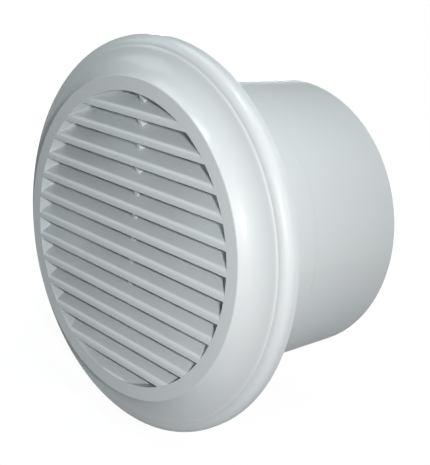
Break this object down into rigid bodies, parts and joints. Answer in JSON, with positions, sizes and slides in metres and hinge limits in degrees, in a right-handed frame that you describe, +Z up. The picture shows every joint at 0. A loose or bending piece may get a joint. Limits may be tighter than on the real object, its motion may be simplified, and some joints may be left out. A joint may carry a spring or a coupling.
{
  "type": "ventilation fan",
  "caption": "Round white wall or ceiling extract fan with a louvred pull-off front panel, a flared rim, a round duct spigot and an axial impeller on a shaded-pole motor",
  "frame": {"origin": "on the duct axis, in the wall plane that the casing's flange rests on", "axes": "+Y runs into the duct, -Y faces the room, +Z is up and +X is to the right seen from the room"},
  "size_m": [0.1616, 0.0973, 0.1616],
  "materials": {
    "panel_plastic": "white moulded ABS, satin gloss",
    "white_plastic": "white moulded ABS",
    "carrier_plastic": "off-white flame-retardant moulding",
    "impeller_plastic": "light grey polypropylene",
    "grommet_rubber": "soft black rubber",
    "terminal_plastic": "ivory polyamide",
    "terminal_brass": "nickel-free machined brass",
    "brown_insulation": "brown PVC",
    "blue_insulation": "blue PVC",
    "screw_steel": "zinc-plated steel",
    "plated_steel": "pressed spring steel, plated",
    "shaft_steel": "ground steel",
    "lamination_steel": "stacked silicon steel sheets",
    "bare_copper": "bare copper",
    "enamelled_copper": "enamelled copper winding",
    "bobbin_plastic": "glass-filled polyamide",
    "fuse_case": "ceramic-coloured sleeve",
    "bracket_zinc": "die-cast zinc alloy",
    "bush_bronze": "oil-filled sintered bronze",
    "oil_felt": "oiled wool felt",
    "washer_nylon": "natural nylon",
    "cage_aluminium": "cast aluminium"
  },
  "bodies": {
    "fan_casing": {"casing": "white_plastic", "rear_spigot": "white_plastic", "cable_grommet": "grommet_rubber", "casing_screws": "screw_steel", "motor_carrier": "carrier_plastic", "terminal_block": "terminal_plastic", "terminal_tubes": "terminal_brass", "terminal_screws": "screw_steel", "live_lead": "brown_insulation", "neutral_lead": "blue_insulation", "terminal_cover": "carrier_plastic", "terminal_cover_screw": "screw_steel", "cable_clamp": "carrier_plastic", "clamp_screws": "screw_steel", "stator_core": "lamination_steel", "shading_rings": "bare_copper", "coil_bobbins": "bobbin_plastic", "coil_windings": "enamelled_copper", "thermal_fuse": "fuse_case", "motor_front_bracket": "bracket_zinc", "motor_rear_bracket": "bracket_zinc", "front_bearing": "bush_bronze", "rear_bearing": "bush_bronze", "oil_felts": "oil_felt", "felt_caps": "plated_steel", "motor_through_screws": "screw_steel", "bracket_screws": "screw_steel"},
    "rotor": {"motor_shaft": "shaft_steel", "rotor_core": "lamination_steel", "rotor_cage": "cage_aluminium", "thrust_washers": "washer_nylon", "impeller": "impeller_plastic", "impeller_clip": "plated_steel"},
    "panel": {"front_panel": "panel_plastic"}
  },
  "joints": [
    {"name": "impeller_spin", "type": "hinge", "parent": "fan_casing", "child": "rotor", "pos_m": [0, 0, 0], "axis": [0, 1, 0], "continuous": true},
    {"name": "panel_pull", "type": "slide", "parent": "fan_casing", "child": "panel", "axis": [0, -1, 0], "range_m": [0, 0.06]}
  ]
}
